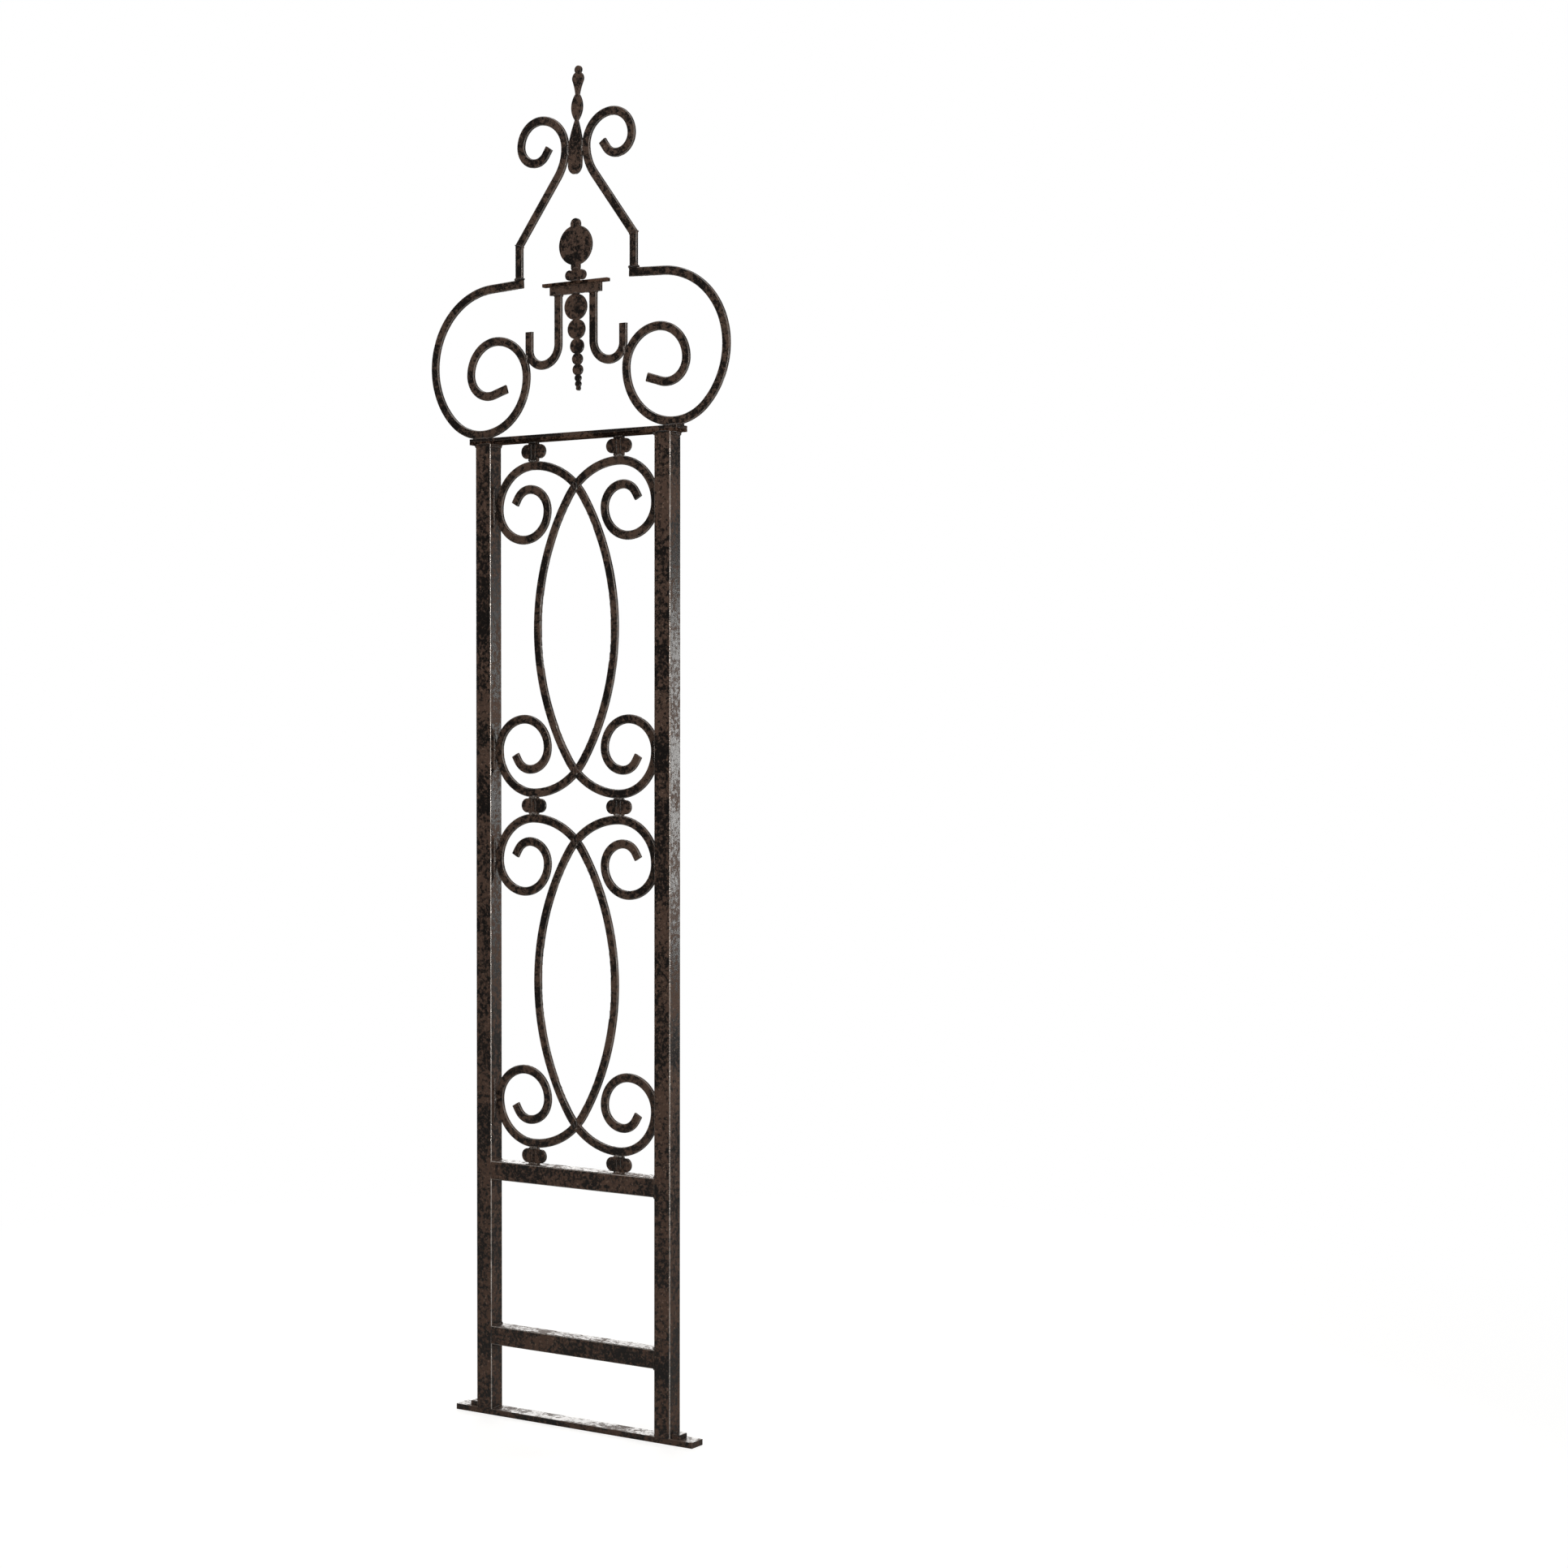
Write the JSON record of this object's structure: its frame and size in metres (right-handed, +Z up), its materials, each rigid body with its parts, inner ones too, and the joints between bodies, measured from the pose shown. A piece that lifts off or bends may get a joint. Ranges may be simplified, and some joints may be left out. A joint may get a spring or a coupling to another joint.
{
  "type": "garden trellis panel",
  "caption": "Tall narrow garden trellis panel: square-tube posts, scrolled flat-bar infill and an arched scroll crest with a spire, on a flat base bar.",
  "frame": {"origin": "middle of the base bar's underside", "axes": "+Z up, +X across the panel to the viewer's right, +Y through the panel to the back, front towards -Y"},
  "size_m": [0.4828, 0.026, 1.8088],
  "materials": {
    "tube_patina": "satin dark brown-black rust patina under clear lacquer, on square tube",
    "bar_patina": "satin dark brown-black rust patina under clear lacquer, on rolled flat bar",
    "plate_patina": "satin dark brown-black rust patina under clear lacquer, on cut plate",
    "strip_patina": "glossier dark patina on the flat strips and the base bar"
  },
  "bodies": {
    "root": {"base_bar": "strip_patina", "left_foot_lug": "strip_patina", "right_foot_lug": "strip_patina", "head_bar": "strip_patina", "crest_bar": "strip_patina", "bracket_flange": "strip_patina", "left_post": "tube_patina", "right_post": "tube_patina", "lower_rail": "tube_patina", "middle_rail": "tube_patina", "lower_scroll_left": "bar_patina", "lower_scroll_right": "bar_patina", "upper_scroll_left": "bar_patina", "upper_scroll_right": "bar_patina", "crest_scroll_left": "bar_patina", "riser_left": "bar_patina", "rafter_left": "bar_patina", "hook_left": "bar_patina", "bottom_connector_left": "plate_patina", "middle_connector_left": "plate_patina", "top_connector_left": "plate_patina", "crest_scroll_right": "bar_patina", "riser_right": "bar_patina", "rafter_right": "bar_patina", "hook_right": "bar_patina", "bottom_connector_right": "plate_patina", "middle_connector_right": "plate_patina", "top_connector_right": "plate_patina", "bracket_bar": "bar_patina", "spire": "plate_patina", "finial_collar": "plate_patina", "finial": "plate_patina", "drop": "plate_patina"}
  },
  "joints": []
}
